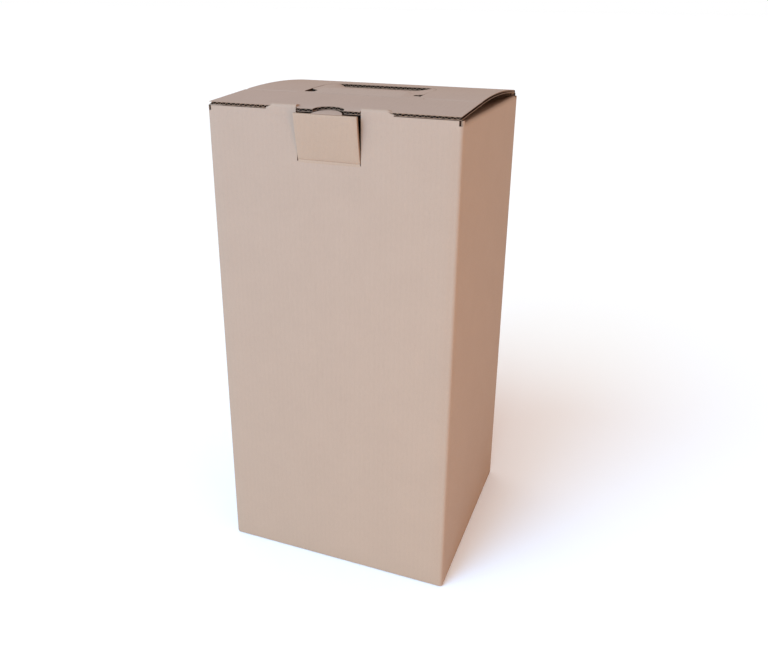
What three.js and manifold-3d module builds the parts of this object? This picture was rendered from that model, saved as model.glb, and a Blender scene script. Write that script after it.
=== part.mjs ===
// Kraft bottle box: a tall carton folded from one sheet of fine-flute corrugated board.
// Millimetres, +Z up, origin at the middle of the underside, front wall facing -Y.
// The lid hangs on two short creased bridges at the top of the front wall, and the rest of
// that fold line is slit, so the lid shows its open flutes there.

import * as THREE from 'three';
import { mergeVertices } from 'three/addons/utils/BufferGeometryUtils.js';
import Module from 'manifold-3d';

const wasm = await Module();
wasm.setup();

// Carton
const boxWidth = 165;
const boxDepth = 151;
const boxHeight = 325;
const cornerRadius = 2.2;
const cornerNotch = 3.4;
const cornerNotchDrop = 3;

// Corrugated board
const board = 2;
const liner = 0.35;
const flutePitch = 3.4;
const fluteDepth = 3.2;
const mediumWall = 0.3;

// Clearances between cut edges and between folded panels
const kerf = 0.35;
const touchGap = 0.3;
const tuckClearance = 0.5;

// Lid
const lidSideInset = 1.4;
const bridgeInner = 21;
const bridgeWidth = 20.2;
const bridgeCrown = 0.7;
const bridgeFoldRadius = 1.8;
const bridgeRamp = 4.5;
const bridgeRampEnd = 1.4;
const bridgeReach = 6.5;
const thumbNotchRadius = 9.5;
const crossCreaseSetback = 46;
const crossCreaseRise = 3;
const crossCreaseGap = 2;
const creaseGroove = 0.35;
const creaseWidth = 1.3;
const lidFoldRadius = 2.4;
const sideChannelDepth = 1.4;
const sideChannelWall = 0.55;
const tuckLength = 34;
const tuckTilt = 7;
const tuckSideInset = 8;
const tuckCornerRadius = 14;

// Hand hole and its flap, set back from the lid's front edge
const handHoleWidth = 84;
const handHoleNear = 45;
const handHoleFar = 95;
const handHoleNearRadius = 7;
const handHoleFarRadius = 15;
const cornerFluteShare = 0.35;
const handFlapNeckInset = 6.5;
const handFlapNeckLength = 9;
const handFlapShoulder = 6;
const handFlapRidgeReach = 14.5;
const handFlapRidgeLift = 2.4;
const handFlapEndDrop = 2.6;

// Thumb tab cut from the front wall
const tabHeight = 29.5;
const tabTopGap = 0.8;
const tabLean = 5.4;
const tabCurve = 0.3;
const tabTongueRadius = 9;
const tabTongueDrop = 0.2;
const tabTongueBoard = 1.2;

// Dust flaps
const dustFoldDepth = 5;
const dustFlapLength = 36;
const dustFlapSlope = 12;
const dustFlapFrontInset = 4;
const dustFlapBackInset = 7.5;
const dustFlapCornerRadius = 8;

// Bottom flaps and the glued seam
const bottomStagger = 1;
const flapFoldInset = 3;
const rearFlapReach = 89;
const rearFlapChamferWidth = 9;
const rearFlapChamferLength = 24;
const rearTongueReach = 16;
const rearTongueHalf = 30;
const rearTongueTaper = 4;
const sideFlapReach = 54;
const sideFlapTaper = 16;
const sideFlapStraightEnd = 10;
const sideFlapCornerReach = 32;
const frontFlapReach = 84;
const frontFlapTaper = 5;
const glueFlapFoot = 6;
const glueFlapHead = 10;
const glueFlapWidth = 30;
const glueFlapTaper = 10;
const seamWidth = 0.4;
const seamDepth = 0.6;

// Colours
const kraftOuter = { color: 0xb99f8f, roughness: 0.9, metalness: 0 };
const kraftLid = { color: 0xb79c8c, roughness: 0.9, metalness: 0 };

const front = -boxDepth / 2;
const back = boxDepth / 2;
const side = boxWidth / 2;

// Solids that are joined overlap a little, and cutters reach well past the board they cut.
const overlap = 0.1;
const past = 20;
const radians = THREE.MathUtils.degToRad;

// Turns a closed geometry into a solid that can be joined and cut.
function solidOf(geometry) {
  geometry.deleteAttribute('normal');
  geometry.deleteAttribute('uv');
  const merged = mergeVertices(geometry, 1e-4);
  return new wasm.Manifold(new wasm.Mesh({
    numProp: 3,
    vertProperties: new Float32Array(merged.attributes.position.array),
    triVerts: new Uint32Array(merged.index.array),
  }));
}

// Turns a finished solid into a named mesh with a material of its own.
function meshOf(name, solid, look) {
  const { vertProperties, triVerts } = solid.getMesh();
  const geometry = new THREE.BufferGeometry();
  geometry.setAttribute('position', new THREE.BufferAttribute(vertProperties, 3));
  geometry.setIndex(new THREE.BufferAttribute(triVerts, 1));
  geometry.computeVertexNormals();
  const mesh = new THREE.Mesh(geometry, new THREE.MeshStandardMaterial(look));
  mesh.name = name;
  return mesh;
}

function extrude(shape, from, to, basis) {
  const geometry = new THREE.ExtrudeGeometry(shape, {
    depth: to - from, bevelEnabled: false, curveSegments: 6,
  });
  geometry.translate(0, 0, from);
  geometry.applyMatrix4(basis);
  return solidOf(geometry);
}

const xAxis = new THREE.Vector3(1, 0, 0);
const yAxis = new THREE.Vector3(0, 1, 0);
const zAxis = new THREE.Vector3(0, 0, 1);
const basisX = new THREE.Matrix4().makeBasis(yAxis, zAxis, xAxis);
const basisY = new THREE.Matrix4().makeBasis(zAxis, xAxis, yAxis);
const basisZ = new THREE.Matrix4();

function outline(points) {
  return new THREE.Shape(points.map(([u, v]) => new THREE.Vector2(u, v)));
}

// Prisms: a side profile of [y, z] points along X, an end profile of [x, z] points along Y,
// and a plan outline along Z.
const alongX = (points, x0, x1) => extrude(outline(points), x0, x1, basisX);
const alongY = (points, y0, y1) =>
  extrude(outline(points.map(([x, z]) => [z, x])), y0, y1, basisY);
const alongZ = (shape, z0, z1) => extrude(shape, z0, z1, basisZ);

function block(x0, x1, y0, y1, z0, z1) {
  const geometry = new THREE.BoxGeometry(x1 - x0, y1 - y0, z1 - z0);
  geometry.translate((x0 + x1) / 2, (y0 + y1) / 2, (z0 + z1) / 2);
  return solidOf(geometry);
}

const mirrorX = (points) => points.map(([x, z]) => [-x, z]);

function joined(solids) {
  return solids.reduce((whole, piece) => whole.add(piece));
}

function cutBy(solid, cutters) {
  return cutters.reduce((whole, cutter) => whole.subtract(cutter), solid);
}

function roundedRect(x0, x1, y0, y1, radius) {
  const shape = new THREE.Shape();
  shape.moveTo(x0 + radius, y0);
  shape.lineTo(x1 - radius, y0);
  shape.absarc(x1 - radius, y0 + radius, radius, -Math.PI / 2, 0);
  shape.lineTo(x1, y1 - radius);
  shape.absarc(x1 - radius, y1 - radius, radius, 0, Math.PI / 2);
  shape.lineTo(x0 + radius, y1);
  shape.absarc(x0 + radius, y1 - radius, radius, Math.PI / 2, Math.PI);
  shape.lineTo(x0, y0 + radius);
  shape.absarc(x0 + radius, y0 + radius, radius, Math.PI, Math.PI * 1.5);
  return shape;
}

// Open flutes along a raw edge from x0 to x1. The zigzag medium between the two liners leaves
// a row of triangular channels, base up and base down in turn. middle gives the middle of the
// board's thickness at x, and channel makes the solid of one triangle.
function fluteRow(x0, x1, middle, channel) {
  const halfCore = board / 2 - liner;
  const halfBase = flutePitch / 2 - mediumWall;
  const count = Math.floor((x1 - x0) / (flutePitch / 2)) - 1;
  const first = (x0 + x1) / 2 - ((count - 1) / 2) * (flutePitch / 2);
  const channels = [];
  for (let i = 0; i < count; i += 1) {
    const x = first + i * (flutePitch / 2);
    const up = i % 2 === 0 ? 1 : -1;
    const base = middle(x) + up * halfCore;
    const tip = middle(x) - up * (halfCore - mediumWall);
    const points = [[x - halfBase, base], [x + halfBase, base], [x, tip]];
    channels.push(channel(up > 0 ? points.reverse() : points, x));
  }
  return channels;
}

// Flutes of a panel that lies flat: start and end give a channel's two ends along Y.
const openFlutes = (x0, x1, midHeight, start, end) =>
  fluteRow(x0, x1, midHeight, (points, x) => alongY(points, start(x), end(x)));

// Flutes in the raw top edge of an upright wall whose board has its middle at y.
const wallFlutes = (x0, x1, y) => fluteRow(x0, x1, () => y, (points) =>
  alongZ(outline(points.reverse()), boxHeight - fluteDepth, boxHeight + past));

// Height of the lid's top face above its flat position, at a distance from its front edge:
// straight up to the cross crease, then a tangent arch that comes down at the tuck fold.
const lidFront = front + touchGap;
const lidBack = back - board - tuckClearance;
const archLength = lidBack - lidFront - crossCreaseSetback;
const frontSlope = crossCreaseRise / crossCreaseSetback;
const archFall = (crossCreaseRise + frontSlope * archLength) / archLength ** 2;

function lidRise(distance) {
  if (distance <= crossCreaseSetback) return frontSlope * distance;
  const beyond = distance - crossCreaseSetback;
  return crossCreaseRise + frontSlope * beyond - archFall * beyond ** 2;
}

const lidUnder = (y) => boxHeight + touchGap + lidRise(y - lidFront);
const lidTop = (y) => lidUnder(y) + board;
const bridgeOuter = bridgeInner + bridgeWidth;

// The four walls, with round folds at the upright corners.
function walls() {
  const shape = roundedRect(-side, side, front, back, cornerRadius);
  shape.holes.push(roundedRect(
    -side + board, side - board, front + board, back - board, cornerRadius - board + overlap));
  return alongZ(shape, 0, boxHeight);
}

// A dust flap and the fold it hangs on, as one bent sheet at the top of a side wall.
const dustFoldBase = boxHeight - dustFoldDepth;
function dustFlap(mirror) {
  const slope = radians(dustFlapSlope);
  const centre = [side - cornerRadius, boxHeight - cornerRadius];
  const onFold = (radius, angle) =>
    [centre[0] + radius * Math.cos(angle), centre[1] + radius * Math.sin(angle)];
  const foldEnd = Math.PI / 2 + slope;
  const along = ([x, z], length) => [x - length * Math.cos(slope), z - length * Math.sin(slope)];
  const steps = 6;
  const outer = [];
  const inner = [];
  for (let i = 0; i <= steps; i += 1) {
    outer.push(onFold(cornerRadius, (foldEnd * i) / steps));
    inner.push(onFold(cornerRadius - board, (foldEnd * (steps - i)) / steps));
  }
  const top = along(outer[steps], dustFlapLength);
  const under = along(inner[0], dustFlapLength);
  const profile = [
    [side, dustFoldBase - overlap], ...outer, top, under, ...inner,
    [side - board, dustFoldBase - overlap],
  ];
  const y0 = front + dustFlapFrontInset;
  const y1 = back - dustFlapBackInset;
  const reach = side - dustFlapLength * Math.cos(slope) - cornerRadius * 2;
  const plan = roundedRect(reach, side + past, y0, y1, dustFlapCornerRadius);
  const square = alongY(mirror ? mirrorX(profile).reverse() : profile, y0, y1);
  const trim = alongZ(plan, boxHeight - dustFlapLength, boxHeight + past);
  return square.intersect(mirror ? trim.mirror([1, 0, 0]) : trim);
}

// The bottom is closed by four overlapping flaps, the rear one outermost with its tongue
// tucked in over the front one.
function bottomFlaps() {
  const rearEdge = back - rearFlapReach;
  const inX = side - board / 2;
  const inY = back - board / 2;
  const chamferTop = rearEdge + rearFlapChamferLength;
  const chamferX = inX - rearFlapChamferWidth;
  const tongueEnd = rearTongueHalf - rearTongueTaper;
  const rear = outline([
    [-inX, inY], [-inX, chamferTop], [-chamferX, rearEdge], [-rearTongueHalf, rearEdge],
    [-tongueEnd, rearEdge - rearTongueReach], [tongueEnd, rearEdge - rearTongueReach],
    [rearTongueHalf, rearEdge], [chamferX, rearEdge], [inX, chamferTop], [inX, inY],
  ]);
  const sideFlap = (s) => outline([
    [s * inX, front + flapFoldInset], [s * (side - sideFlapReach), front + sideFlapTaper],
    [s * (side - sideFlapReach), sideFlapStraightEnd],
    [s * (side - sideFlapCornerReach), back - sideFlapTaper], [s * inX, back - flapFoldInset],
  ]);
  const frontX = side - flapFoldInset;
  const frontFlap = outline([
    [-frontX, front + board / 2], [frontX, front + board / 2],
    [frontX - frontFlapTaper, front + frontFlapReach],
    [-frontX + frontFlapTaper, front + frontFlapReach],
  ]);
  return [
    alongZ(rear, 0, board),
    alongZ(sideFlap(1), bottomStagger, bottomStagger + board),
    alongZ(sideFlap(-1), bottomStagger, bottomStagger + board),
    alongZ(frontFlap, bottomStagger * 2, bottomStagger * 2 + board),
  ];
}

// The glued seam: the back wall's sheet turns the corner and is stuck inside the left wall.
function glueFlap() {
  const inner = back - board + overlap;
  const edge = inner - glueFlapWidth;
  const foot = glueFlapFoot;
  const head = boxHeight - glueFlapHead;
  return alongX([
    [inner, foot], [inner, head], [edge, head - glueFlapTaper], [edge, foot + glueFlapTaper],
  ], -side + board - overlap, -side + board * 2);
}

function cartonBody() {
  const sideOpening = (x0, x1) => block(x0, x1, front + dustFlapFrontInset,
    back - dustFlapBackInset, dustFoldBase, boxHeight + past);
  const shell = cutBy(walls(), [
    sideOpening(side - board - overlap, side + past),
    sideOpening(-side - past, -side + board + overlap),
  ]);
  const whole = joined([shell, dustFlap(false), dustFlap(true), ...bottomFlaps(), glueFlap()]);
  const notches = [];
  const notchBase = boxHeight - cornerNotchDrop;
  for (const [x0, x1] of [[-side - past, -side + cornerNotch], [side - cornerNotch, side + past]]) {
    notches.push(block(x0, x1, front - past, front + cornerNotch, notchBase, boxHeight + past));
    notches.push(block(x0, x1, back - cornerNotch, back + past, notchBase, boxHeight + past));
  }
  const tabSlot = block(-bridgeInner, bridgeInner, front - past, front + board + overlap,
    boxHeight - tabHeight, boxHeight + past);
  const seam = block(-side + board, -side + board + seamWidth, back - seamDepth, back + past,
    -past, boxHeight + past);
  const edgeEnd = side - cornerNotch;
  return cutBy(whole, [
    ...notches, tabSlot, seam,
    ...wallFlutes(-edgeEnd, -bridgeInner, front + board / 2),
    ...wallFlutes(bridgeInner, edgeEnd, front + board / 2),
    ...wallFlutes(-edgeEnd, edgeEnd, back - board / 2),
  ]);
}

// A creased bridge: the outer liner runs over the fold and stands a little proud of the lid.
// Its outer end ramps down to the slit edge.
function bridge(mirror) {
  const low = boxHeight + touchGap;
  const top = low + board + bridgeCrown;
  const radius = bridgeFoldRadius;
  const points = [[front, low]];
  const steps = 5;
  for (let i = 0; i <= steps; i += 1) {
    const angle = Math.PI - (Math.PI / 2) * (i / steps);
    points.push([front + radius + radius * Math.cos(angle), top - radius + radius * Math.sin(angle)]);
  }
  points.push([front + bridgeReach, lidTop(front + bridgeReach) - overlap / 2]);
  points.push([front + bridgeReach, low + overlap]);
  const core = alongX(points.reverse(), bridgeInner, bridgeOuter);
  const ramp = alongY([
    [bridgeOuter - bridgeRamp, top + overlap], [bridgeOuter + overlap, low + bridgeRampEnd],
    [bridgeOuter + overlap, top + past], [bridgeOuter - bridgeRamp, top + past],
  ].reverse(), front - past, front + bridgeReach - overlap);
  const shaped = core.subtract(ramp);
  return mirror ? shaped.mirror([1, 0, 0]) : shaped;
}

// Places along the arch, front to back, with one on the cross crease.
function archStations(y0, y1) {
  const steps = 18;
  const stations = [lidFront + crossCreaseSetback];
  for (let i = 0; i <= steps; i += 1) {
    stations.push(y0 + ((y1 - y0) * i) / steps);
  }
  return stations.sort((a, b) => a - b);
}

// How far the hand hole's far edge is set back at x, where its corners are round.
function cornerSetback(x) {
  const into = Math.max(0, Math.abs(x) - handHoleWidth / 2 + handHoleFarRadius);
  return handHoleFarRadius - Math.sqrt(handHoleFarRadius ** 2 - into ** 2);
}

function handHoleShape(inset) {
  const half = handHoleWidth / 2 - inset;
  const near = lidFront + handHoleNear;
  const far = lidFront + handHoleFar - inset;
  const nearR = handHoleNearRadius;
  const farR = handHoleFarRadius - inset;
  const shape = new THREE.Shape();
  shape.moveTo(-half + nearR, near);
  shape.lineTo(half - nearR, near);
  shape.absarc(half - nearR, near + nearR, nearR, -Math.PI / 2, 0);
  shape.lineTo(half, far - farR);
  shape.absarc(half - farR, far - farR, farR, 0, Math.PI / 2);
  shape.lineTo(-half + farR, far);
  shape.absarc(-half + farR, far - farR, farR, Math.PI / 2, Math.PI);
  shape.lineTo(-half, near + nearR);
  shape.absarc(-half + nearR, near + nearR, nearR, Math.PI, Math.PI * 1.5);
  return shape;
}

// A V groove pressed across the lid on both sides of the hand hole.
function crossCreases() {
  const y = lidFront + crossCreaseSetback;
  const z = lidTop(y);
  const rim = z + overlap * 2;
  const profile = [[y, z - creaseGroove], [y + creaseWidth / 2, rim], [y - creaseWidth / 2, rim]];
  const inner = handHoleWidth / 2 + crossCreaseGap;
  return [alongX(profile, inner, side + past), alongX(profile, -side - past, -inner)];
}

// Raw side edges run with the flutes and show one long channel between the liners.
function sideChannels(panelSide) {
  const stations = archStations(lidFront - past, lidBack - lidFoldRadius * 2);
  const groove = [
    ...stations.map((y) => [y, lidUnder(y) + sideChannelWall]),
    ...stations.reverse().map((y) => [y, lidTop(y) - sideChannelWall]),
  ];
  return [
    alongX(groove, panelSide - sideChannelDepth, panelSide + past),
    alongX(groove, -panelSide - past, -panelSide + sideChannelDepth),
  ];
}

// The fold at the back of the lid: a quarter turn from the end of the arch to the tuck flap,
// which leans in, so that it clears the back wall as the lid swings up.
const foldSlope = Math.atan(2 * archFall * archLength - frontSlope);
const archEnd = lidBack - lidFoldRadius * (1 - Math.sin(foldSlope));
const foldCentre = [
  lidBack - lidFoldRadius, lidTop(archEnd) - lidFoldRadius * Math.cos(foldSlope)];
const foldStart = Math.PI / 2 - foldSlope;
const foldEnd = -radians(tuckTilt);
const onLidFold = (radius, angle) =>
  [foldCentre[0] + radius * Math.cos(angle), foldCentre[1] + radius * Math.sin(angle)];

// Side profile of the whole bent sheet: arch, fold and tuck flap.
function lidProfile() {
  const steps = 6;
  const outer = [];
  const inner = [];
  for (let i = 0; i <= steps; i += 1) {
    const angle = foldStart + ((foldEnd - foldStart) * i) / steps;
    outer.push(onLidFold(lidFoldRadius, angle));
    inner.push(onLidFold(lidFoldRadius - board, angle));
  }
  const down = ([y, z]) =>
    [y + tuckLength * Math.sin(foldEnd), z - tuckLength * Math.cos(foldEnd)];
  const stations = archStations(lidFront, archEnd).slice(0, -1);
  return [
    ...stations.map((y) => [y, lidUnder(y)]), ...inner, down(inner[steps]),
    down(outer[steps]), ...outer.reverse(), ...stations.reverse().map((y) => [y, lidTop(y)]),
  ];
}

// What is cut away beside the tuck flap, level with the lid's underside, to leave it narrower
// than the lid and with round corners.
function tuckTrim() {
  const half = side - tuckSideInset;
  const r = tuckCornerRadius;
  const root = boxHeight + touchGap;
  const low = onLidFold(lidFoldRadius, foldEnd)[1] - tuckLength * Math.cos(foldEnd);
  const shape = new THREE.Shape();
  shape.moveTo(root, half);
  shape.lineTo(low + r, half);
  shape.absarc(low + r, half - r, r, Math.PI / 2, Math.PI);
  shape.lineTo(low, -half + r);
  shape.absarc(low + r, -half + r, r, Math.PI, Math.PI * 1.5);
  shape.lineTo(root, -half);
  shape.lineTo(root, -side - past);
  shape.lineTo(low - past, -side - past);
  shape.lineTo(low - past, side + past);
  shape.lineTo(root, side + past);
  return extrude(shape, lidBack - past, lidBack + past, basisY);
}

function lid() {
  const panelSide = side - lidSideInset;
  const sheet = alongX(lidProfile(), -panelSide, panelSide).subtract(tuckTrim());
  const thumbNotch = new THREE.Shape();
  thumbNotch.absarc(0, lidFront, thumbNotchRadius, 0, Math.PI * 2);
  const middle = (y) => (lidUnder(y) + lidTop(y)) / 2;
  const notchDepth = (x) =>
    (Math.abs(x) < thumbNotchRadius ? Math.sqrt(thumbNotchRadius ** 2 - x * x) : 0);
  const frontFlutes = (x0, x1) => openFlutes(x0, x1,
    (x) => middle(lidFront + notchDepth(x) + fluteDepth / 2),
    () => lidFront - past, (x) => lidFront + notchDepth(x) + fluteDepth);
  const farEdge = lidFront + handHoleFar;
  const farHalf = handHoleWidth / 2 - handHoleFarRadius * cornerFluteShare;
  const farFlutes = openFlutes(-farHalf, farHalf,
    (x) => middle(farEdge - cornerSetback(x) + fluteDepth / 2),
    (x) => farEdge - cornerSetback(x) - flutePitch, (x) => farEdge - cornerSetback(x) + fluteDepth);
  const whole = joined([sheet, bridge(false), bridge(true)]);
  const innerFluteEnd = panelSide - sideChannelDepth;
  return cutBy(whole, [
    alongZ(thumbNotch, boxHeight - past, boxHeight + past),
    alongZ(handHoleShape(0), boxHeight - past, boxHeight + past),
    ...crossCreases(),
    ...sideChannels(panelSide),
    ...frontFlutes(bridgeOuter, innerFluteEnd),
    ...frontFlutes(-innerFluteEnd, -bridgeOuter),
    ...frontFlutes(-bridgeInner, bridgeInner),
    ...farFlutes,
  ]);
}

// The hand-hole flap: hinged at its front edge, creased again a little further on, pushed up
// there and sagging behind, with a narrow neck between the two creases.
function handleFlap() {
  const near = lidFront + handHoleNear;
  const far = lidFront + handHoleFar - kerf;
  const ridge = near + handFlapRidgeReach;
  const hingeTop = lidTop(near);
  const profile = [
    [near + kerf, hingeTop - board], [ridge, hingeTop + handFlapRidgeLift - board],
    [far, lidTop(far) - handFlapEndDrop - board], [far, lidTop(far) - handFlapEndDrop],
    [ridge, hingeTop + handFlapRidgeLift], [near + kerf + board * 0.4, hingeTop],
  ];
  const half = handHoleWidth / 2 - kerf;
  const neck = half - handFlapNeckInset;
  const shoulder = near + handFlapNeckLength + handFlapShoulder;
  const r = handHoleFarRadius - kerf;
  const shape = new THREE.Shape();
  shape.moveTo(-neck, near);
  shape.lineTo(neck, near);
  shape.lineTo(neck, near + handFlapNeckLength);
  shape.quadraticCurveTo(neck, shoulder, half, shoulder);
  shape.lineTo(half, far - r);
  shape.absarc(half - r, far - r, r, 0, Math.PI / 2);
  shape.lineTo(-half + r, far);
  shape.absarc(-half + r, far - r, r, Math.PI / 2, Math.PI);
  shape.lineTo(-half, shoulder);
  shape.quadraticCurveTo(-neck, shoulder, -neck, near + handFlapNeckLength);
  const sheet = alongX(profile, -half - 1, half + 1);
  const trimmed = sheet.intersect(alongZ(shape, boxHeight - past, boxHeight + past));
  const endMiddle = lidTop(far) - handFlapEndDrop - board / 2;
  const endHalf = half - r * cornerFluteShare;
  const endFall = (handFlapRidgeLift + handFlapEndDrop + hingeTop - lidTop(far)) / (far - ridge);
  return cutBy(trimmed, openFlutes(-endHalf, endHalf,
    (x) => endMiddle + endFall * (cornerSetback(x) + fluteDepth / 2),
    (x) => far - cornerSetback(x) - fluteDepth, (x) => far - cornerSetback(x) + flutePitch));
}

// The thumb tab leans out of the front wall. Its half-round tongue is bent in under the
// lid's thumb notch.
function frontTab() {
  const foot = boxHeight - tabHeight + touchGap;
  const height = tabHeight - touchGap - tabTopGap;
  const lean = (t) => tabLean * ((1 + tabCurve) * t - tabCurve * t * t);
  const steps = 6;
  const outer = [];
  const inner = [];
  for (let i = 0; i <= steps; i += 1) {
    const t = i / steps;
    outer.push([front - lean(t), foot + height * t]);
    const footBevel = i === 0 ? board / 2 : 0;
    inner.push([front - lean(t) + board, foot + height * t + footBevel]);
  }
  const half = bridgeInner - kerf;
  const sheet = alongX([...outer.reverse(), ...inner], -half, half);
  const tongueTop = foot + height - tabTongueDrop;
  const tongueRoot = front - tabLean + overlap * 2;
  const tongue = new THREE.Shape();
  tongue.moveTo(-tabTongueRadius, tongueRoot);
  tongue.lineTo(tabTongueRadius, tongueRoot);
  tongue.absarc(0, tongueRoot + board / 2, tabTongueRadius, 0, Math.PI);
  return sheet.add(alongZ(tongue, tongueTop - tabTongueBoard, tongueTop));
}

const box = new THREE.Group();
box.add(
  meshOf('carton_body', cartonBody(), kraftOuter),
  meshOf('lid', lid(), kraftLid),
  meshOf('handle_flap', handleFlap(), kraftLid),
  meshOf('front_tab', frontTab(), kraftOuter),
);

export default box;
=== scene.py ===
import math

import bmesh
import bpy
import numpy as np
from mathutils import Matrix, Vector


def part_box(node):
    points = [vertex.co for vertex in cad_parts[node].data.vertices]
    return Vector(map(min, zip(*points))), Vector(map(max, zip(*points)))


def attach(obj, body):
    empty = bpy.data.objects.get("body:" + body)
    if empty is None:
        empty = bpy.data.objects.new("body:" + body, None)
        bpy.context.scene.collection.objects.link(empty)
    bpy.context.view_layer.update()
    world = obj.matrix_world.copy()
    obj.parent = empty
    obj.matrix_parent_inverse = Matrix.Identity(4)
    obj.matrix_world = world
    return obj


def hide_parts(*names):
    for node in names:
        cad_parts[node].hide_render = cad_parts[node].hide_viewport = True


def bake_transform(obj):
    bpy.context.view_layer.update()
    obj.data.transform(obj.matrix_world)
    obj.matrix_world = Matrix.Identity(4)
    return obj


# Kraft bottle box: real corrugated board, built as two liners and a wavy paper between them.
# All sizes below are millimetres; the frame and Blender work in metres.

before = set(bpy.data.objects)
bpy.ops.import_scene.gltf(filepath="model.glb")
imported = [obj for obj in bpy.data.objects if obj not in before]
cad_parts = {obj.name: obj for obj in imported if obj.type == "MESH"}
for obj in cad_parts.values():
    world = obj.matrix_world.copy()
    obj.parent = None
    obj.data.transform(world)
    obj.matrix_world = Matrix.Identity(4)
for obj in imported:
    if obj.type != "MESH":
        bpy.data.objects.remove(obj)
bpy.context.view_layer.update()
mm = 0.001


def nodeBox(node):
    low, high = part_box(node)
    return [v / mm for v in low], [v / mm for v in high]


wallLow, wallHigh = nodeBox("carton_body")
lidLow, lidHigh = nodeBox("lid")
flapLow, flapHigh = nodeBox("handle_flap")
tabLow, tabHigh = nodeBox("front_tab")
side, front, back, wallTop = wallHigh[0], wallLow[1], wallHigh[1], wallHigh[2]
gap = 0.3  # between the walls' top and the lid's underside

board = {
    "thickness": 2.0,
    "liner": 0.3,  # outer and inner paper
    "medium": 0.2,  # wavy paper between them
    "pitch": 3.4,  # from one flute to the next
    "wavePoints": 10,  # mesh points along one flute
    "gridStep": 5.0,  # mesh points across the flat papers
}


# Camera and stage

camera = {
    "place": (0.18868, -0.48484, 0.38694),
    "forward": (-0.32589, 0.87672, -0.35378),
    "up": (-0.13386, 0.32765, 0.93527),
    "lens": 35.25,
    "shiftY": -0.0514,
}


def makeCamera():
    data = bpy.data.cameras.new("photoCamera")
    data.lens = camera["lens"]
    data.shift_y = camera["shiftY"]
    data.clip_start = 0.01
    ahead = Vector(camera["forward"]).normalized()
    right = ahead.cross(Vector(camera["up"])).normalized()
    up = right.cross(ahead)
    turn = Matrix((right, up, -ahead)).transposed().to_4x4()
    obj = bpy.data.objects.new("photoCamera", data)
    obj.matrix_world = Matrix.Translation(camera["place"]) @ turn
    bpy.context.scene.collection.objects.link(obj)
    bpy.context.scene.camera = obj


studio = {
    "floorTone": (0.95, 0.95, 0.95),
    "floorSize": 60.0,
    "ambient": (0.83, 0.61, 0.54),
    "backdrop": (1.0, 1.0, 1.0),
    # far lights: direction they come from, softness in degrees, strength
    "suns": {
        "skyKey": ((-0.45, -1.0, 0.75), 60, (1.47, 2.41, 2.82)),
        "overhead": ((-0.2, 0.3, 1.0), 120, (0.0, 0.25, 0.31)),
    },
    # panels: place, aim, size and power
    "panels": {
        "coolPanel": ((-0.2, -0.7, 0.65), (0, -0.08, 0.3), 0.4, (0.52, 1.54, 3.62)),
        "warmPanel": ((0.6, -0.55, 0.08), (0.06, -0.06, 0.04), 0.3, (1.23, 0.53, 0.0)),
    },
}


def placeLight(name, kind, place, aim, power):
    data = bpy.data.lights.new(name, kind)
    strength = max(power)
    data.energy = strength
    data.color = [p / max(strength, 1e-6) for p in power]
    obj = bpy.data.objects.new(name, data)
    obj.location = place
    away = Vector(aim) - Vector(place)
    obj.rotation_euler = away.to_track_quat("-Z", "Y").to_euler()
    bpy.context.scene.collection.objects.link(obj)
    return data


def makeStudio():
    size = studio["floorSize"] / 2
    mesh = bpy.data.meshes.new("floor")
    corners = [(-size, -size, 0), (size, -size, 0), (size, size, 0), (-size, size, 0)]
    mesh.from_pydata(corners, [], [(0, 1, 2, 3)])
    floor = bpy.data.objects.new("floor", mesh)
    floor.location.z = -0.1 * mm
    bpy.context.scene.collection.objects.link(floor)
    paint = bpy.data.materials.new("floorPaint")
    paint.use_nodes = True
    shader = paint.node_tree.nodes["Principled BSDF"]
    shader.inputs["Base Color"].default_value = (*studio["floorTone"], 1)
    shader.inputs["Roughness"].default_value = 0.8
    shader.inputs["Specular IOR Level"].default_value = 0.2
    mesh.materials.append(paint)
    for name, (direction, softness, power) in studio["suns"].items():
        sun = placeLight(name, "SUN", direction, (0, 0, 0), power)
        sun.angle = math.radians(softness)
    for name, (place, aim, width, power) in studio["panels"].items():
        panel = placeLight(name, "AREA", place, aim, power)
        panel.shape, panel.size = "DISK", width
    world = bpy.data.worlds.new("studio")
    world.use_nodes = True
    nodes, links = world.node_tree.nodes, world.node_tree.links
    nodes.clear()
    seen = nodes.new("ShaderNodeBackground")
    seen.inputs["Color"].default_value = (*studio["backdrop"], 1)
    light = nodes.new("ShaderNodeBackground")
    light.inputs["Color"].default_value = (*studio["ambient"], 1)
    path = nodes.new("ShaderNodeLightPath")
    mix = nodes.new("ShaderNodeMixShader")
    out = nodes.new("ShaderNodeOutputWorld")
    links.new(path.outputs["Is Camera Ray"], mix.inputs[0])
    links.new(light.outputs[0], mix.inputs[1])
    links.new(seen.outputs[0], mix.inputs[2])
    links.new(mix.outputs[0], out.inputs[0])
    bpy.context.scene.world = world
    bpy.context.scene.view_settings.view_transform = "Standard"


makeCamera()
makeStudio()
print("camera and studio ready")


# Kraft paper

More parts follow.
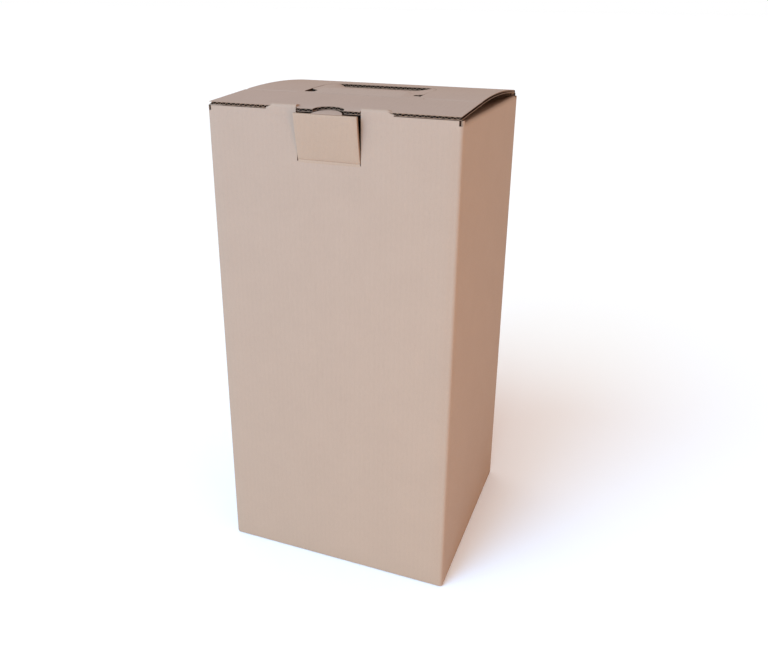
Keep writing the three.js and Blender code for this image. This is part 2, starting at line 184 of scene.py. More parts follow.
kraftLook = {
    # colour, the direction across the flutes, and the axis that the fibres follow
    "wall": {"colour": (166, 140, 120), "across": (1, 1, 0), "along": 2},
    # tab: painted light, the wall's board made a little warmer and darker for the warm bounce light
    # and shade on its downward-leaning face
    "tab": {"colour": (166, 138, 115), "across": (1, 1, 0), "along": 2},
    "lid": {"colour": (164, 139, 122), "across": (1, 0, 0), "along": 1},
    "inside": {"colour": (150, 125, 102), "across": (1, 1, 0), "along": 2},
    # flute: painted shade, a near-black paper for the shadowed hollows of the flutes rather than the
    # medium's own colour
    "flute": {"colour": (63, 44, 32), "across": (1, 1, 0), "along": 2},
    # edge: raw cut edges, darker for the fibre ends and also painted shade of the edges' hollows
    "edge": {"colour": (146, 117, 95), "across": (1, 1, 0), "along": 2},
    "cloudSize": 26.0,
    "cloudTone": 0.07,
    "fibreWidth": 0.5,
    "fibreLength": 3.2,
    "fibreTone": 0.16,
    "fleckSize": 0.55,
    "fleckTone": 0.1,
    # painted shade and light: faint stripes across the flutes for the washboard ripple
    "fluteShadeTone": 0.006,
    "fluteRelief": 0.02,
    "fibreRelief": 0.03,
    "roughness": 0.88,
}


def linear(rgb):
    return tuple((c / 255 / 12.92) if c < 11 else ((c / 255 + 0.055) / 1.055) ** 2.4 for c in rgb)


class NodeDesk:
    # Small helper that adds and joins shader nodes.
    def __init__(self, tree):
        self.nodes, self.links = tree.nodes, tree.links

    def feed(self, socket, value):
        if isinstance(value, bpy.types.NodeSocket):
            self.links.new(value, socket)
        else:
            socket.default_value = value

    def math(self, kind, a, b=0.0, c=0.0):
        node = self.nodes.new("ShaderNodeMath")
        node.operation = kind
        for socket, value in zip(node.inputs, (a, b, c)):
            self.feed(socket, value)
        return node.outputs[0]

    def vector(self, kind, a, b):
        node = self.nodes.new("ShaderNodeVectorMath")
        node.operation = kind
        self.feed(node.inputs[0], a)
        self.feed(node.inputs[1], b)
        return node.outputs["Value" if kind == "DOT_PRODUCT" else "Vector"]

    def noise(self, place, detail=2.0, roughness=0.5):
        node = self.nodes.new("ShaderNodeTexNoise")
        self.feed(node.inputs["Vector"], place)
        node.inputs["Scale"].default_value = 1.0
        node.inputs["Detail"].default_value = detail
        node.inputs["Roughness"].default_value = roughness
        return node.outputs["Fac"]

    def spread(self, value, low, high, toLow, toHigh):
        node = self.nodes.new("ShaderNodeMapRange")
        for socket, v in zip(node.inputs, (value, low, high, toLow, toHigh)):
            self.feed(socket, v)
        return node.outputs[0]

    def mix(self, share, a, b, kind="MIX"):
        node = self.nodes.new("ShaderNodeMix")
        node.data_type = "RGBA"
        node.blend_type = kind
        self.feed(node.inputs["Factor"], share)
        self.feed(node.inputs["A"], a)
        self.feed(node.inputs["B"], b)
        return node.outputs["Result"]


def kraftPaper(name, kind):
    look = kraftLook[kind]
    material = bpy.data.materials.new(name)
    material.use_nodes = True
    desk = NodeDesk(material.node_tree)
    shader = desk.nodes["Principled BSDF"]
    texture = desk.nodes.new("ShaderNodeTexCoord")
    place = desk.vector("MULTIPLY", texture.outputs["Object"], (1 / mm,) * 3)
    grain = [1 / kraftLook["fibreWidth"]] * 3
    grain[look["along"]] = 1 / kraftLook["fibreLength"]
    fibre = desk.noise(desk.vector("MULTIPLY", place, grain), 4.0, 0.65)
    cloud = desk.noise(desk.vector("MULTIPLY", place, (1 / kraftLook["cloudSize"],) * 3), 3.0, 0.6)
    fleckAt = desk.vector("MULTIPLY", place, (1 / kraftLook["fleckSize"],) * 3)
    fleck = desk.spread(desk.noise(fleckAt, 1.0), 0.66, 0.74, 0.0, 1.0)
    acrossFlutes = desk.vector("DOT_PRODUCT", place, look["across"])
    wave = desk.math("SINE", desk.math("MULTIPLY", acrossFlutes, 2 * math.pi / board["pitch"]))
    tone = desk.math("MULTIPLY_ADD", desk.math("SUBTRACT", fibre, 0.5), kraftLook["fibreTone"], 1.0)
    tone = desk.math("MULTIPLY_ADD", desk.math("SUBTRACT", cloud, 0.5), kraftLook["cloudTone"], tone)
    # painted shade: the flute ripple's light and dark stripes painted into the colour, on top of the
    # bump relief below
    tone = desk.math("MULTIPLY_ADD", wave, kraftLook["fluteShadeTone"], tone)
    tone = desk.math("MULTIPLY_ADD", fleck, -kraftLook["fleckTone"], tone)
    paint = (*linear(look["colour"]), 1)
    shade = desk.nodes.new("ShaderNodeCombineColor")
    for socket in shade.inputs:
        desk.feed(socket, tone)
    desk.feed(shader.inputs["Base Color"], desk.mix(1.0, paint, shade.outputs[0], "MULTIPLY"))
    relief = desk.math("MULTIPLY", fibre, kraftLook["fibreRelief"])
    relief = desk.math("MULTIPLY_ADD", wave, kraftLook["fluteRelief"] / 2, relief)
    bump = desk.nodes.new("ShaderNodeBump")
    bump.inputs["Distance"].default_value = mm
    bump.inputs["Strength"].default_value = 0.8
    desk.feed(bump.inputs["Height"], relief)
    desk.feed(shader.inputs["Normal"], bump.outputs[0])
    shader.inputs["Roughness"].default_value = kraftLook["roughness"]
    shader.inputs["Specular IOR Level"].default_value = 0.25
    return material


wallPaper = kraftPaper("kraftWallPaper", "wall")
lidPaper = kraftPaper("kraftLidPaper", "lid")
# painted light: the tab's copy of the wall paper, warmer and darker for how light falls on it
tabShadedPaper = kraftPaper("kraftTabShadedPaper", "tab")
insidePaper = kraftPaper("kraftInsidePaper", "inside")
# painted shade: the fluted medium and the liner faces that look into the flutes get this dark paper
# for the shadow inside the flutes
fluteShadePaper = kraftPaper("flutedMediumShadePaper", "flute")
# raw cut edges: partly the darker fibre ends, partly painted shade
edgeAndShadePaper = kraftPaper("rawEdgeAndShadePaper", "edge")
print("kraft papers mixed")


# Board in mesh code

def gridSolid(name, outer, inner, papers, loop=False):
    # outer and inner are rows of points; papers are for the two faces and the raw edges
    rows, cols = outer.shape[:2]
    points = np.concatenate([outer.reshape(-1, 3), inner.reshape(-1, 3)]) * mm
    index = np.arange(2 * rows * cols).reshape(2, rows, cols)
    if loop:
        index = np.concatenate([index, index[:, :, :1]], axis=2)

    def quads(a, b, c, d):
        return np.stack([a.ravel(), b.ravel(), c.ravel(), d.ravel()], axis=1)

    o, i = index
    faces = [
        quads(o[:-1, :-1], o[:-1, 1:], o[1:, 1:], o[1:, :-1]),
        quads(i[:-1, :-1], i[1:, :-1], i[1:, 1:], i[:-1, 1:]),
        quads(o[0, :-1], i[0, :-1], i[0, 1:], o[0, 1:]),
        quads(o[-1, :-1], o[-1, 1:], i[-1, 1:], i[-1, :-1]),
    ]
    if not loop:
        faces.append(quads(o[:-1, 0], o[1:, 0], i[1:, 0], i[:-1, 0]))
        faces.append(quads(o[:-1, -1], i[:-1, -1], i[1:, -1], o[1:, -1]))
    mesh = bpy.data.meshes.new(name)
    mesh.from_pydata(points.tolist(), [], np.concatenate(faces).tolist())
    for paper in papers:
        mesh.materials.append(paper)
    kinds = [min(k, 2) for k, group in enumerate(faces) for _ in group]
    mesh.polygons.foreach_set("material_index", kinds)
    return settle(name, mesh)


def settle(name, mesh):
    work = bmesh.new()
    work.from_mesh(mesh)
    bmesh.ops.recalc_face_normals(work, faces=work.faces)
    work.to_mesh(mesh)
    work.free()
    obj = bpy.data.objects.new(name, mesh)
    bpy.context.scene.collection.objects.link(obj)
    return obj


def prism(points, axis, low, high, paper=edgeAndShadePaper):
    # a flat outline drawn out along x, y or z; used only to cut with
    def at(a, b, depth):
        return {"x": (depth, a, b), "y": (a, depth, b), "z": (a, b, depth)}[axis]

    count = len(points)
    verts = [Vector(at(a, b, low)) * mm for a, b in points]
    verts += [Vector(at(a, b, high)) * mm for a, b in points]
    faces = [tuple(range(count)), tuple(range(2 * count - 1, count - 1, -1))]
    faces += [(i, i + count, (i + 1) % count + count, (i + 1) % count) for i in range(count)]
    mesh = bpy.data.meshes.new("cutter")
    mesh.from_pydata(verts, [], faces)
    if paper:
        mesh.materials.append(paper)
    return settle("cutter", mesh)


def blockCutter(x0, x1, y0, y1, z0, z1):
    return prism([(x0, y0), (x1, y0), (x1, y1), (x0, y1)], "z", z0, z1)


def arc(centreA, centreB, radius, start, end, steps=10):
    angles = np.radians(np.linspace(start, end, steps + 1))
    return [(centreA + radius * math.cos(t), centreB + radius * math.sin(t)) for t in angles]


def applyModifiers(obj):
    graph = bpy.context.evaluated_depsgraph_get()
    mesh = bpy.data.meshes.new_from_object(obj.evaluated_get(graph))
    obj.modifiers.clear()
    obj.data = mesh


def cut(obj, cutters):
    for cutter in cutters:
        knife = obj.modifiers.new("cut", "BOOLEAN")
        knife.operation = "DIFFERENCE"
        knife.solver = "EXACT"
        knife.material_mode = "TRANSFER"
        knife.object = cutter
    bpy.context.view_layer.update()
    applyModifiers(obj)
    return obj


def clearAway(cutters):
    for cutter in cutters:
        bpy.data.objects.remove(cutter)


def joined(name, parts, sharp=32):
    with bpy.context.temp_override(active_object=parts[0], selected_editable_objects=parts):
        bpy.ops.object.join()
    obj = parts[0]
    obj.name = name
    obj.data.name = name
    smooth(obj, sharp)
    return obj


def smooth(obj, sharp=32):
    obj.data.polygons.foreach_set("use_smooth", [True] * len(obj.data.polygons))
    obj.data.set_sharp_from_angle(angle=math.radians(sharp))


def inPlane(plane, path, u):
    # path rows are (a, b, normalA, normalB) in the sheet's side view; u runs across it
    a, b = path[:, 0], path[:, 1]
    across = np.full(len(path), float(u))
    return np.stack([across, a, b] if plane == "yz" else [a, across, b], axis=1)


def sheetLayer(name, plane, pathAt, us, depthOut, depthIn, papers, dip=None):
    outer, inner = [], []
    for u in us:
        path = pathAt(u)
        sink = dip(u, path) if dip else 0.0
        for rows, depth in ((outer, depthOut(u)), (inner, depthIn(u))):
            shifted = path.copy()
            shifted[:, :2] -= path[:, 2:] * np.reshape(depth + sink, (-1, 1))
            rows.append(inPlane(plane, shifted, u))
    return gridSolid(name, np.array(outer), np.array(inner), papers)


def wave(u):
    swing = board["thickness"] / 2 - board["liner"] - board["medium"] / 2
    return board["thickness"] / 2 + swing * math.sin(2 * math.pi * u / board["pitch"])


# both faces of the medium carry the dark paper of painted shade
mediumPapers = (fluteShadePaper, fluteShadePaper, edgeAndShadePaper)


def waveStations(start, end):
    count = int(round((end - start) / board["pitch"] * board["wavePoints"]))
    return np.linspace(start, end, count + 1)


def layeredBoard(name, plane, pathAt, span, papers, cutters=(), dip=None, channel=0.0, extra=()):
    # liner, fluted medium and liner, cut to shape together
    # the liner faces that look into the flutes get the dark paper of painted shade
    outPapers, inPapers = (papers[0], fluteShadePaper, edgeAndShadePaper), (fluteShadePaper, papers[1], edgeAndShadePaper)
    start, end = span
    flat = np.linspace(start, end, int((end - start) / board["gridStep"]) + 1)
    flat = np.unique(np.round(np.concatenate([flat, list(extra)]), 4))
    thick, liner, thin = board["thickness"], board["liner"], board["medium"] / 2
    layers = [
        sheetLayer(name, plane, pathAt, flat, lambda u: 0.0, lambda u: liner, outPapers, dip),
        sheetLayer(name, plane, pathAt, waveStations(start + channel, end - channel),
                   lambda u: wave(u) - thin, lambda u: wave(u) + thin, mediumPapers, dip),
        sheetLayer(name, plane, pathAt, flat, lambda u: thick - liner, lambda u: thick, inPapers,
                   dip),
    ]
    for layer in layers:
        if cutters:
            cut(layer, cutters)
    return joined(name, layers)


# Carton walls: outer liner, inner liner, and the flutes that show along the raw top edges

carton = {
    "cornerRadius": 2.2,
    "frontNotch": (2.6, 0.9),  # its width on the front wall and on the side wall
    "backNotch": (1.5, 1.0),
    "notchDrop": 3.0,
    "bottomRadius": 1.6,
    "slotHalf": 21.0,
    "slotHeight": 30.2,
    "fluteDepth": 14.0,
    "bow": {"front": 0.25, "right": 0.5, "back": 0.6, "left": 0.5},
    "seamWidth": 0.4,
    "seamFrom": 2.0,
    "foldDepth": 5.0,
    "foldDrop": 1.8,  # the side folds lie a little below the front wall's edge
    "flapFrontInset": 2.6,
    "flapBackInset": 4.0,
    "flapLength": 36.0,
    "flapSlope": 12.0,
    "flapCorner": 8.0,
}


def wallPath(step):
    # once round the outer face, anticlockwise from the front left: x, y, normal, wall, share
    r = carton["cornerRadius"]
    corners = [(-side, front), (side, front), (side, back), (-side, back)]
    names = ["front", "right", "back", "left"]
    rows = []
    for k, name in enumerate(names):
        a, b = np.array(corners[k]), np.array(corners[(k + 1) % 4])
        ahead = (b - a) / np.linalg.norm(b - a)
        out = np.array([ahead[1], -ahead[0]])
        start, end = a + ahead * r, b - ahead * r
        count = max(2, int(np.linalg.norm(end - start) / step))
        for t in np.linspace(0, 1, count + 1):
            rows.append((*(start + (end - start) * t), *out, name, t))
        centre = end - out * r
        turns = max(3, int(r * math.pi / 2 / step))
        for t in np.linspace(0, math.pi / 2, turns + 1)[1:-1]:
            normal = out * math.cos(t) + ahead * math.sin(t)
            rows.append((*(centre + normal * r), *normal, name, 1.0))
    return rows


def tubeLayer(name, path, heights, depthOut, depthIn, papers):
    # heights are (z, inset) pairs from the bottom up, for the outer and for the inner face
    faces = []
    for rowsOf, depth in zip(heights, (depthOut, depthIn)):
        rows = []
        for z, inset in rowsOf:
            rise = math.sin(math.pi * min(1.0, max(0.0, z / wallTop)))
            ring, run, last = [], 0.0, None
            for x, y, nx, ny, wall, share in path:
                run += 0.0 if last is None else math.hypot(x - last[0], y - last[1])
                last = (x, y)
                sink = carton["bow"][wall] * rise * math.sin(math.pi * share)
                d = depth(run) + sink + inset
                ring.append((x - nx * d, y - ny * d, z))
            rows.append(ring)
        faces.append(np.array(rows))
    return gridSolid(name, *faces, papers, loop=True)


def makeWalls():
    thick, liner, thin = board["thickness"], board["liner"], board["medium"] / 2
    r = carton["bottomRadius"]
    rise = [(z, 0.0) for z in np.linspace(r, wallTop, 32)[1:]]

    def foot(paper):
        # the paper turns in at the bottom fold; its depth there is counted from the face
        turn = np.radians(np.linspace(90, 0, 5))
        return [(r - (r - paper) * math.sin(t), (r - paper) * (1 - math.cos(t))) for t in turn]

    liners = (foot(0.0) + rise, foot(liner) + rise)
    innerLiner = ([(z, 0.0) for z, _ in liners[0]],) * 2
    slotFloor = wallTop - carton["slotHeight"]
    high = wallTop + 5
    cutters = [blockCutter(-carton["slotHalf"], carton["slotHalf"], front - 5, front + 5,
                           slotFloor, high)]
    notchFloor = wallTop - carton["notchDrop"]
    wide, deep = carton["frontNotch"]
    backWide, backDeep = carton["backNotch"]
    for hand in (-1, 1):
        x0, x1 = sorted((hand * (side - wide), hand * (side + 5)))
        cutters.append(blockCutter(x0, x1, front - 5, front + deep, notchFloor, high))
        x0, x1 = sorted((hand * (side - backWide), hand * (side + 5)))
        cutters.append(blockCutter(x0, x1, back - backDeep, back + 5, notchFloor, high))
    foldFloor = wallTop - carton["foldDepth"]
    sideTop = wallTop - carton["foldDrop"]
    for x0, x1 in ((-side - 5, -side + 5), (side - 5, side + 5)):
        cutters.append(blockCutter(x0, x1, front + carton["flapFrontInset"],
                                   back - carton["flapBackInset"], foldFloor, high))
        cutters.append(blockCutter(x0, x1, front + carton["flapFrontInset"] - 0.1,
                                   back - backDeep + 0.1, sideTop, high))
    seamX = -side + carton["seamFrom"]
    seam = blockCutter(seamX, seamX + carton["seamWidth"], back - 1.0, back + 5, -5, high)
    coarse, fine = wallPath(7.0), wallPath(board["pitch"] / board["wavePoints"])
    top = [(z, 0.0) for z in np.linspace(wallTop - carton["fluteDepth"], wallTop, 3)]
    # the faces that look into the flutes get the dark paper of painted shade
    layers = [
        cut(tubeLayer("walls", coarse, liners, lambda u: 0.0, lambda u: liner,
                      (wallPaper, fluteShadePaper, edgeAndShadePaper)), [*cutters, seam]),
        cut(tubeLayer("walls", fine, (top, top), lambda u: wave(u) - thin,
                      lambda u: wave(u) + thin, mediumPapers), cutters),
        cut(tubeLayer("walls", coarse, innerLiner, lambda u: thick - liner, lambda u: thick,
                      (fluteShadePaper, insidePaper, edgeAndShadePaper)), cutters),
    ]
    walls = joined("carton_walls", layers)
    clearAway([*cutters, seam])
    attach(walls, "carton")
    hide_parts("carton_body")
    return walls


makeWalls()
print("carton walls standing")


def dustFlapPath(hand):
    r, slope = carton["cornerRadius"], carton["flapSlope"]
    centreX, centreZ = side - r, wallTop - carton["foldDrop"] - r
    y0, y1 = front + carton["flapFrontInset"], back - carton["flapBackInset"]
    corner = carton["flapCorner"]

    def pathAt(y):
        edge = min(y - y0, y1 - y)
        into = max(0.0, corner - edge)
        length = carton["flapLength"] - (corner - math.sqrt(max(0.0, corner ** 2 - into ** 2)))
        rows = [(side, wallTop - carton["foldDepth"], 1.0, 0.0)]
        for angle in np.linspace(0, 90 + slope, 9):
            t = math.radians(angle)
            rows.append((centreX + r * math.cos(t), centreZ + r * math.sin(t),
                         math.cos(t), math.sin(t)))
        t = math.radians(90 + slope)
        ahead = (-math.sin(t), math.cos(t))
        for s in np.linspace(0, length, 10)[1:]:
            rows.append((rows[9][0] + ahead[0] * s, rows[9][1] + ahead[1] * s,
                         math.cos(t), math.sin(t)))
        path = np.array(rows)
        path[:, 0] *= hand
        path[:, 2] *= hand
        return path

    return pathAt, (y0, y1)


def makeDustFlaps():
    for name, hand in (("dust_flap_right", 1), ("dust_flap_left", -1)):
        pathAt, (y0, y1) = dustFlapPath(hand)
        near = np.linspace(0, carton["flapCorner"], 9)
        extra = [*(y0 + near), *(y1 - near)]
        flap = layeredBoard(name, "xz", pathAt, (y0, y1), (wallPaper, insidePaper), extra=extra)
        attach(flap, "carton")


makeDustFlaps()
print("dust flaps folded in")


# Bottom flaps and the glue flap of the seam

bottom = {
    "stagger": 1.0,
    "rearReach": 89.0,
    "rearChamfer": (9.0, 24.0),
    "tongueReach": 16.0,
    "tongueHalf": 30.0,
    "tongueTaper": 4.0,
    "sideReach": 54.0,
    "frontReach": 84.0,
    "foldInset": 3.0,
    "bevel": 0.35,
    "glueWidth": 30.0,
    "glueTaper": 10.0,
}


def slab(name, points, axis, low, high, paper):
    obj = prism(points, axis, low, high, paper)
    obj.name = name
    soft = obj.modifiers.new("soft", "BEVEL")
    soft.width = bottom["bevel"] * mm
    soft.segments = 2
    applyModifiers(obj)
    return obj


def makeBottom():
    thick, step = board["thickness"], bottom["stagger"]
    inX, inY = side - thick, back - thick
    rearEdge = back - bottom["rearReach"]
    chamferX, chamferY = bottom["rearChamfer"]
    tongue, taper = bottom["tongueHalf"], bottom["tongueTaper"]
    rear = [
        (-inX, back - 1.0), (-inX, rearEdge + chamferY), (-inX + chamferX, rearEdge),
        (-tongue, rearEdge), (-tongue + taper, rearEdge - bottom["tongueReach"]),
        (tongue - taper, rearEdge - bottom["tongueReach"]), (tongue, rearEdge),
        (inX - chamferX, rearEdge), (inX, rearEdge + chamferY), (inX, back - 1.0),
    ]
    reach = side - bottom["sideReach"]
    inset = bottom["foldInset"]
    parts = [slab("rear", rear, "z", 0.05, thick, wallPaper)]
    for hand in (1, -1):
        flap = [(hand * inX, front + inset), (hand * reach, front + 16), (hand * reach, 10),
                (hand * (reach + 22), back - 16), (hand * inX, inY - inset)]
        parts.append(slab("sideFlap", flap, "z", thick + 0.05, thick + step, wallPaper))
    face = [(-side + inset, front + 1.0), (side - inset, front + 1.0),
            (side - inset - 5, front + bottom["frontReach"]),
            (-side + inset + 5, front + bottom["frontReach"])]
    parts.append(slab("face", face, "z", thick + step + 0.05, 2 * thick, insidePaper))
    flaps = joined("bottom_flaps", parts)
    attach(flaps, "carton")
    inner = back - thick
    edge = inner - bottom["glueWidth"]
    strip = slab("glue_flap", [
        (inner, 6.0), (inner, wallTop - 10), (edge, wallTop - 10 - bottom["glueTaper"]),
        (edge, 6.0 + bottom["glueTaper"])], "x", -side + thick, -side + thick * 2, insidePaper)
    smooth(strip)
    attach(strip, "carton")


makeBottom()
print("bottom closed")


# Lid: arch, back fold and tuck flap in one bent sheet

lid = {
    "creaseSetback": 46.0,
    "creaseRise": 3.0,
    "creaseDip": 0.5,
    "creaseHalf": 1.3,
    "creaseFrom": 44.0,
    "foldRadius": 2.4,
    "tuckLength": 34.0,
    "tuckTilt": 7.0,
    "tuckInset": 8.0,
    "tuckCorner": 14.0,
    "notchHalf": 10.0,
    "notchDepth": 7.0,
    "sag": 0.75,  # of the front edge between the bridges
    "sagHalf": 21.0,
    "sagDepth": 10.0,
    "sideChannel": 0.6,
}
hole = {"half": 40.0, "near": 45.0, "far": 97.5, "nearRadius": 7.0, "farRadius": 12.0}
lidFront, lidBack, lidSide = front + gap, lidHigh[1], lidHigh[0]
archLength = lidBack - lidFront - lid["creaseSetback"]
frontSlope = lid["creaseRise"] / lid["creaseSetback"]
archFall = (lid["creaseRise"] + frontSlope * archLength) / archLength ** 2


def lidTop(distance):
    # height and slope of the lid's top face at a distance from its front edge
    beyond = max(0.0, distance - lid["creaseSetback"])
    z = wallTop + gap + board["thickness"] + frontSlope * distance - archFall * beyond ** 2
    return z, frontSlope - 2 * archFall * beyond


def lidPath():
    rows = []
    endSlope = math.atan(2 * archFall * archLength - frontSlope)
    r = lid["foldRadius"]
    archEnd = lidBack - lidFront - r * (1 - math.sin(endSlope))
    crease = lid["creaseSetback"]
    stations = list(np.linspace(0, archEnd, 41)[:-1]) + [1.2, 2.4, 5.4, 9.0]
    stations += [crease - lid["creaseHalf"], crease, crease + lid["creaseHalf"]]
    for distance in sorted(stations):
        z, slope = lidTop(distance)
        size = math.hypot(1, slope)
        rows.append((lidFront + distance, z, -slope / size, 1 / size))
    centreY = lidBack - r
    centreZ = lidTop(archEnd)[0] - r * math.cos(endSlope)
    start, end = math.pi / 2 - endSlope, -math.radians(lid["tuckTilt"])
    for t in np.linspace(start, end, 11):
        rows.append((centreY + r * math.cos(t), centreZ + r * math.sin(t),
                     math.cos(t), math.sin(t)))
    rootY, rootZ = rows[-1][:2]
    for s in np.linspace(0, lid["tuckLength"], 8)[1:]:
        rows.append((rootY + s * math.sin(end), rootZ - s * math.cos(end),
                     math.cos(end), math.sin(end)))
    return np.array(rows)


def holeOutline(inset=0.0):
    half, near, far = hole["half"] - inset, lidFront + hole["near"], lidFront + hole["far"] - inset
    nearR, farR = hole["nearRadius"], hole["farRadius"] - inset
    return (arc(half - nearR, near + nearR, nearR, -90, 0) + arc(half - farR, far - farR, farR, 0, 90)
            + arc(-half + farR, far - farR, farR, 90, 180)
            + arc(-half + nearR, near + nearR, nearR, 180, 270))


def makeLid():
    path = lidPath()

    def dip(u, rows):
        away = np.abs(rows[:, 0] - lidFront - lid["creaseSetback"])
        onTop = rows[:, 3] > 0.9
        share = np.clip(1 - away / lid["creaseHalf"], 0, 1) * onTop
        crease = lid["creaseDip"] * share * (abs(u) > lid["creaseFrom"])
        middle = min(1.0, max(0.0, lid["sagHalf"] - abs(u)))
        fade = np.clip(1 - (rows[:, 0] - lidFront) / lid["sagDepth"], 0, 1) * onTop
        return crease + lid["sag"] * middle * fade ** 2

    tuckHalf, r = side - lid["tuckInset"], lid["tuckCorner"]
    root = wallTop + gap
    low = path[-1][1]
    trim = ([(tuckHalf, root)] + arc(tuckHalf - r, low + r, r, 0, -90)
            + arc(-tuckHalf + r, low + r, r, -90, -180) + [(-tuckHalf, root)]
            + [(-side - 9, root), (-side - 9, low - 9), (side + 9, low - 9), (side + 9, root)])
    z0, z1 = wallTop - 5, wallTop + 20
    cutters = [
        prism(holeOutline(), "z", z0, z1),
        prism([(x * lid["notchHalf"], lidFront + y * lid["notchDepth"])
               for x, y in arc(0, 0, 1, 0, 352, 44)], "z", z0, z1),
        prism(trim, "y", lidBack - 25, lidBack + 9),
    ]
    extra = [s * (lid["creaseFrom"] + d) for s in (-1, 1) for d in (0.0, 0.3)]
    extra += [s * (lid["sagHalf"] - d) for s in (-1, 1) for d in (0.0, 0.5, 1.0)]
    sheet = layeredBoard("lid_board", "yz", lambda u: path, (-lidSide, lidSide),
                         (lidPaper, insidePaper), cutters, dip, lid["sideChannel"], extra)
    clearAway(cutters)
    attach(sheet, "lid")
    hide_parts("lid")


makeLid()
print("lid arched")


# Hand-hole flap: a neck between two creases, pushed up at the second one

handFlap = {
    "kerf": 0.35,
    # the side slits open, narrow and close again, counted from the hinge, and their depth
    "pockets": {1: (7.5, 11.0, 15.5, 5.0), -1: (4.0, 9.0, 18.0, 7.5)},
    "ridgeReach": 14.5,
    "ridgeLift": 2.2,
    "ridgeRadius": 1.6,
    "ridgeEnd": 35.0,  # out here the flap is level with the lid
    "ridgeFade": 8.0,
    "endDrop": 3.6,
    "bend": (86.0, 1.2),  # where the flap starts to drop, and how far it is down there
}


def bentPath(points, radius, steps=5):
    # side view through the given points, with its inner corners rounded
    points = [np.array(p, float) for p in points]
    line = [points[0]]
    for before, here, after in zip(points, points[1:], points[2:]):
        a = here + (before - here) / np.linalg.norm(before - here) * radius
        b = here + (after - here) / np.linalg.norm(after - here) * radius
        for t in np.linspace(0, 1, steps):
            line.append((1 - t) ** 2 * a + 2 * t * (1 - t) * here + t ** 2 * b)
    line.append(points[-1])
    line = np.array(line)
    ahead = np.gradient(line, axis=0)
    ahead /= np.linalg.norm(ahead, axis=1)[:, None]
    return np.concatenate([line, np.stack([-ahead[:, 1], ahead[:, 0]], axis=1)], axis=1)


def makeHandFlap():
    kerf = handFlap["kerf"]
    near, far = lidFront + hole["near"], lidFront + hole["far"] - kerf
    ridge = near + handFlap["ridgeReach"]
    hingeTop = lidTop(hole["near"])[0]
    path = bentPath([
        (near + kerf + 0.8, hingeTop + 0.1), (ridge, hingeTop + handFlap["ridgeLift"]),
        (lidFront + handFlap["bend"][0], lidTop(handFlap["bend"][0])[0] - handFlap["bend"][1]),
        (far, lidTop(far - lidFront)[0] - handFlap["endDrop"])], handFlap["ridgeRadius"])
    half = hole["half"] - kerf
    r = hole["farRadius"] - kerf

    def flank(hand):
        # the side slit, which opens into a small pocket
        *reaches, depth = handFlap["pockets"][hand]
        opens, narrows, closes = (near + reach for reach in reaches)
        rows = [(hand * half, near), (hand * half, opens), (hand * (half - depth), opens + 0.8)]
        for t in np.linspace(0, 1, 9):
            flare = t * t * (3 - 2 * t)
            rows.append((hand * (half - depth * (1 - flare)), narrows + (closes - narrows) * t))
        return rows

    def dip(u, rows):
        above = rows[:, 1] - [lidTop(y - lidFront)[0] for y in rows[:, 0]]
        share = min(1.0, max(0.0, (abs(u) - handFlap["ridgeEnd"]) / handFlap["ridgeFade"] + 1))
        return above * share * share * (3 - 2 * share)

    z0, z1 = wallTop - 9, wallTop + 20
    cutters = []
    for hand in (1, -1):
        corner = [(hand * a, b) for a, b in arc(half - r, far - r, r, 0, 90)]
        outside = [(0, far), (0, far + 9), (hand * (half + 9), far + 9),
                   (hand * (half + 9), near - 9), (hand * half, near - 9)]
        cutters.append(prism((flank(hand) + corner + outside)[::hand], "z", z0, z1))
    extra = [s * (handFlap["ridgeEnd"] - d) for s in (-1, 1)
             for d in np.linspace(0, handFlap["ridgeFade"], 6)]
    flap = layeredBoard("hand_flap_board", "yz", lambda u: path, (-half, half),
                        (lidPaper, insidePaper), cutters, dip, extra=extra)
    clearAway(cutters)
    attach(flap, "hand_flap")
    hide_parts("handle_flap")


makeHandFlap()
print("hand-hole flap pushed up")


# Thumb tab with its tongue

tab = {
    "curve": 0.3,
    "edgeRadius": 0.5,
    "tongueRadius": 10.3,
    "tongueBoard": 1.2,
    "tongueDrop": 0.2,
    "tongueRise": 1.7,
}
tabLean = front - tabLow[1]


def tabPath():
    rows = []
    foot, height = tabLow[2], tabHigh[2] - tabLow[2]
    for t in np.linspace(0, 1, 13):
        lean = tabLean * ((1 + tab["curve"]) * t - tab["curve"] * t * t)
        slope = tabLean * ((1 + tab["curve"]) - 2 * tab["curve"] * t) / height
        size = math.hypot(1, slope)
        rows.append((front - lean, foot + height * t, -1 / size, -slope / size))
    return np.array(rows)


def makeTab():
    path = tabPath()
    us = np.linspace(tabLow[0], tabHigh[0], 15)
    # the tab's paper carries painted light: warmer and darker than the wall board
    sheet = sheetLayer("tab", "yz", lambda u: path, us, lambda u: 0.0,
                       lambda u: board["thickness"], (tabShadedPaper, insidePaper, edgeAndShadePaper))
    top = tabHigh[2] - tab["tongueDrop"]
    r = tab["tongueRadius"]
    root = tabLow[1] + 0.6
    tongue = prism([(-r, root), (r, root)] + arc(0, root + 0.6, r, 0, 180, 20), "z",
                   top - tab["tongueBoard"], top, lidPaper)
    for vert in tongue.data.vertices:
        vert.co.z += tab["tongueRise"] * (vert.co.y - root * mm) / r
    for piece in (sheet, tongue):
        soft = piece.modifiers.new("soft", "BEVEL")
        soft.width = tab["edgeRadius"] * mm
        soft.segments = 3
        soft.angle_limit = math.radians(50)
        applyModifiers(piece)
    piece = joined("thumb_tab", [sheet, tongue], 40)
    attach(piece, "tab")
    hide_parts("front_tab")


makeTab()
print("thumb tab bent out")


# Creased paper that runs across the folds

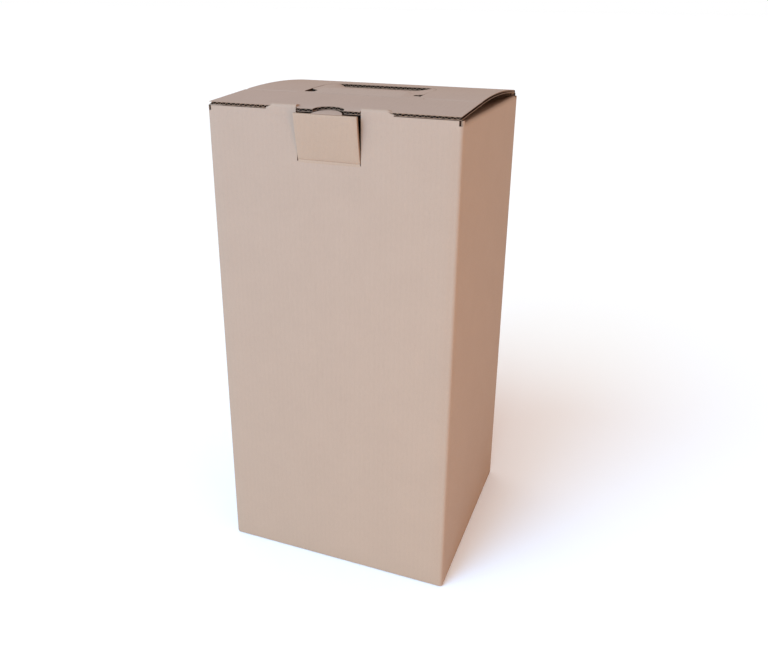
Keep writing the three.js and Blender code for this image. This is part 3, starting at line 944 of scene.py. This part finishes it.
folds = {
    "paper": 0.35,
    "crushed": 1.3,  # board pressed flat in the bridges
    "bridgeInner": 21.0,
    "bridgeWidth": 20.2,
    "bridgeReach": 6.8,
    "bridgeCrown": 1.1,
    "bridgeRadius": 2.0,
    "bridgeRamp": 4.5,
    "bridgeFoot": 4.0,
    "proud": 0.03,
    "tuckedIn": 0.08,  # how far the ends of these papers lie under the surface
    "creaseReach": 1.7,
    "creaseSink": 0.45,
}


def bridgePath(share):
    # share is 1 on the crown and falls to 0 at the torn outer end
    proud = folds["proud"]
    crown = folds["bridgeCrown"] * share - 0.8 * (1 - share)
    topZ = lidTop(0)[0] + crown
    r = folds["bridgeRadius"]
    foot = wallTop - folds["bridgeFoot"]
    rows = [(front + folds["tuckedIn"], foot, -1.0, 0.0), (front - proud, foot + 1.2, -1.0, 0.0)]
    for t in np.radians(np.linspace(180, 84, 9)):
        rows.append((front - proud + r + r * math.cos(t), topZ - r + r * math.sin(t),
                     math.cos(t), math.sin(t)))
    endY = front + folds["bridgeReach"]
    endZ = lidTop(endY - lidFront)[0] - folds["tuckedIn"] - 0.3 * (1 - share)
    lastY, lastZ = rows[-1][:2]
    for t in np.linspace(0, 1, 6)[1:]:
        ease = t * t * (3 - 2 * t)
        rows.append((lastY + (endY - lastY) * t, lastZ + (endZ - lastZ) * ease, 0.0, 1.0))
    return np.array(rows)


def makeFolds():
    inner, outer = folds["bridgeInner"], folds["bridgeInner"] + folds["bridgeWidth"]
    ramp = folds["bridgeRamp"]
    for name, hand in (("fold_bridge_right", 1), ("fold_bridge_left", -1)):
        us = np.concatenate([np.linspace(inner, outer - ramp, 8),
                             np.linspace(outer - ramp, outer, 7)[1:]])

        def pathAt(u):
            share = min(1.0, max(0.0, (outer - abs(u)) / ramp))
            return bridgePath(share * share * (3 - 2 * share))

        strip = sheetLayer(name, "yz", pathAt, np.sort(us * hand), lambda u: 0.0,
                           lambda u: folds["crushed"], (wallPaper, insidePaper, wallPaper))
        smooth(strip, 60)
        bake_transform(strip)


def creaseStrip(name, ends, half, material):
    # a narrow strip of paper from one panel to the next; ends are (y, z, normalY, normalZ)
    (ay, az, any_, anz), (by, bz, bny, bnz) = ends
    rows = []
    for t in np.linspace(0, 1, 9):
        sink = folds["creaseSink"] * math.sin(math.pi * t) ** 2 - folds["proud"]
        sink = sink if 0 < t < 1 else folds["tuckedIn"]
        ny, nz = any_ + (bny - any_) * t, anz + (bnz - anz) * t
        rows.append((ay + (by - ay) * t - ny * sink, az + (bz - az) * t - nz * sink, ny, nz))
    strip = sheetLayer(name, "yz", lambda u: np.array(rows), np.linspace(-half, half, 9),
                       lambda u: 0.0, lambda u: folds["paper"], (material,) * 3)
    smooth(strip, 60)
    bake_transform(strip)


def makeCreases():
    reach = folds["creaseReach"]
    rows = tabPath()
    y, z, ny, nz = [np.interp(tabLow[2] + reach, rows[:, 1], rows[:, k]) for k in (0, 1, 2, 3)]
    creaseStrip("tab_crease", ((front, tabLow[2] - reach, -1.0, 0.0), (y, z, ny, nz)),
                tabHigh[0] - 0.2, tabShadedPaper)
    near = lidFront + hole["near"]
    z0, slope = lidTop(hole["near"] - reach)
    rise = handFlap["ridgeLift"] / handFlap["ridgeReach"]
    far = near + reach
    creaseStrip("hand_flap_crease",
                ((near - reach, z0, -slope, 1.0),
                 (far, lidTop(hole["near"])[0] + 0.1 + rise * (reach - 1.1), -rise, 1.0)),
                hole["half"] - handFlap["kerf"], lidPaper)


makeFolds()
makeCreases()
print("folds creased")
